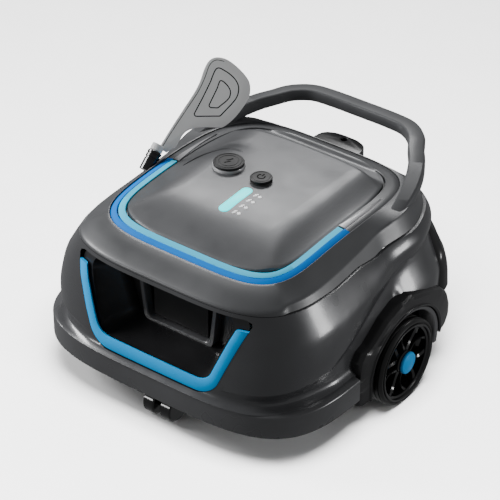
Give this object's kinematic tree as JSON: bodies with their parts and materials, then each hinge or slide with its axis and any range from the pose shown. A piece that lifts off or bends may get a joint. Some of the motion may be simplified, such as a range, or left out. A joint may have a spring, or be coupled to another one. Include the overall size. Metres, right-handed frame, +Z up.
{
  "type": "pool cleaner",
  "caption": "Cordless pool cleaning robot with a domed hood, carrying handle, blue-trimmed front jet opening, spoked rear wheels and a swinging steering vane.",
  "frame": {"origin": "on the floor, under the middle of the cleaner's length and width", "axes": "+Z up, -Y towards the front opening, +X to the side of the right rear wheel"},
  "size_m": [0.398, 0.403, 0.2862],
  "materials": {
    "body_grey": "satin metallic paint",
    "rail_grey": "satin metallic paint",
    "hood_grey": "satin metallic paint",
    "skirt_grey": "satin",
    "trim_grey": "satin",
    "blue_dark": "gloss",
    "blue_light": "gloss",
    "blue_trim": "gloss",
    "hub_blue": "gloss",
    "black_plastic": "fine texture",
    "black_gloss": "gloss",
    "fender_black": "satin",
    "button_grey": "satin",
    "vane_grey": "fine matt",
    "led_cyan": "lit lens",
    "seal_rubber": "matt",
    "tyre_rubber": "matt",
    "steel": "brushed",
    "weight_iron": "painted",
    "mesh_grey": "matt",
    "board_green": "solder mask",
    "cell_wrap": "shrink wrap"
  },
  "bodies": {
    "hull": {"base_chassis": "black_plastic", "front_skirt": "skirt_grey", "rear_skirt": "skirt_grey", "upper_shell": "body_grey", "front_opening_trim": "blue_trim", "handle_frame": "rail_grey", "accent_strip_dark": "blue_dark", "accent_strip_light": "blue_light", "rear_trim_strip": "trim_grey", "bezel_carrier": "rail_grey", "hood_cover": "hood_grey", "charge_socket": "button_grey", "button_seal": "seal_rubber", "led_lens": "led_cyan", "electronics_box": "black_plastic", "electronics_lid": "black_plastic", "lid_seal": "seal_rubber", "battery_pack": "cell_wrap", "control_board": "board_green", "front_pump_housing": "black_plastic", "rear_pump_housing": "black_plastic", "front_pump_motor": "steel", "rear_pump_motor": "steel", "front_outlet_duct": "black_plastic", "rear_outlet_duct": "black_plastic", "rear_opening_trim": "fender_black", "flap_pins": "steel", "filter_tray": "black_plastic", "filter_screen": "mesh_grey", "suction_pins": "steel", "brush_strip": "seal_rubber", "caster_bush": "black_gloss", "fender_left": "fender_black", "fender_right": "fender_black", "stub_axle_left": "steel", "stub_axle_right": "steel", "vane_socket": "black_gloss", "rear_tab": "fender_black", "trim_weights": "weight_iron", "shell_screws": "steel"},
    "wheel_left": {"wheel_rim_left": "black_gloss", "wheel_bush_left": "black_plastic", "tyre_left": "tyre_rubber", "hub_cap_left": "hub_blue"},
    "wheel_right": {"wheel_rim_right": "black_gloss", "wheel_bush_right": "black_plastic", "tyre_right": "tyre_rubber", "hub_cap_right": "hub_blue"},
    "caster_fork_body": {"caster_fork": "black_plastic", "caster_clip": "steel"},
    "caster_wheel_body": {"caster_wheels": "black_gloss"},
    "front_rotor": {"front_impeller": "black_gloss"},
    "rear_rotor": {"rear_impeller": "black_gloss"},
    "front_flap": {"front_outlet_flap": "black_plastic"},
    "rear_flap": {"rear_outlet_flap": "black_plastic"},
    "suction_left": {"suction_flap_left": "black_plastic"},
    "suction_right": {"suction_flap_right": "black_plastic"},
    "button": {"power_button": "button_grey"},
    "cap": {"charge_cap": "button_grey"},
    "steering_vane": {"vane": "vane_grey"}
  },
  "joints": [
    {"name": "wheel_left_roll", "type": "hinge", "parent": "hull", "child": "wheel_left", "pos_m": [-0.182, 0.005, 0.051], "axis": [1, 0, 0], "continuous": true},
    {"name": "wheel_right_roll", "type": "hinge", "parent": "hull", "child": "wheel_right", "pos_m": [0.182, 0.005, 0.051], "axis": [1, 0, 0], "continuous": true},
    {"name": "caster_swivel", "type": "hinge", "parent": "hull", "child": "caster_fork_body", "pos_m": [0, -0.16, 0.048], "axis": [0, 0, 1], "continuous": true},
    {"name": "caster_roll", "type": "hinge", "parent": "caster_fork_body", "child": "caster_wheel_body", "pos_m": [0, -0.174, 0.016], "axis": [1, 0, 0], "continuous": true},
    {"name": "front_impeller_spin", "type": "hinge", "parent": "hull", "child": "front_rotor", "pos_m": [0, -0.1144, 0.125], "axis": [0, 1, 0], "continuous": true},
    {"name": "rear_impeller_spin", "type": "hinge", "parent": "hull", "child": "rear_rotor", "pos_m": [0, 0.1024, 0.125], "axis": [0, 1, 0], "continuous": true},
    {"name": "front_flap_hinge", "type": "hinge", "parent": "hull", "child": "front_flap", "pos_m": [0, -0.142, 0.15], "axis": [-1, 0, 0], "range_deg": [0, 55]},
    {"name": "rear_flap_hinge", "type": "hinge", "parent": "hull", "child": "rear_flap", "pos_m": [0, 0.12, 0.146], "axis": [1, 0, 0], "range_deg": [0, 55]},
    {"name": "suction_left_hinge", "type": "hinge", "parent": "hull", "child": "suction_left", "pos_m": [-0.062, 0.02, 0.049], "axis": [-1, 0, 0], "range_deg": [0, 60]},
    {"name": "suction_right_hinge", "type": "hinge", "parent": "hull", "child": "suction_right", "pos_m": [0.062, 0.02, 0.049], "axis": [-1, 0, 0], "range_deg": [0, 60]},
    {"name": "power_button_press", "type": "slide", "parent": "hull", "child": "button", "axis": [0, 0, -1], "range_m": [0, 0.0015], "stiffness_N_per_m": 400, "springref_m": -0.001},
    {"name": "charge_cap_lift", "type": "slide", "parent": "hull", "child": "cap", "axis": [0, 0, 1], "range_m": [0, 0.03]},
    {"name": "vane_swing", "type": "hinge", "parent": "hull", "child": "steering_vane", "pos_m": [-0.136, -0.025, 0.2], "axis": [0, -0.7431, -0.6691], "range_deg": [-90, 36]}
  ]
}
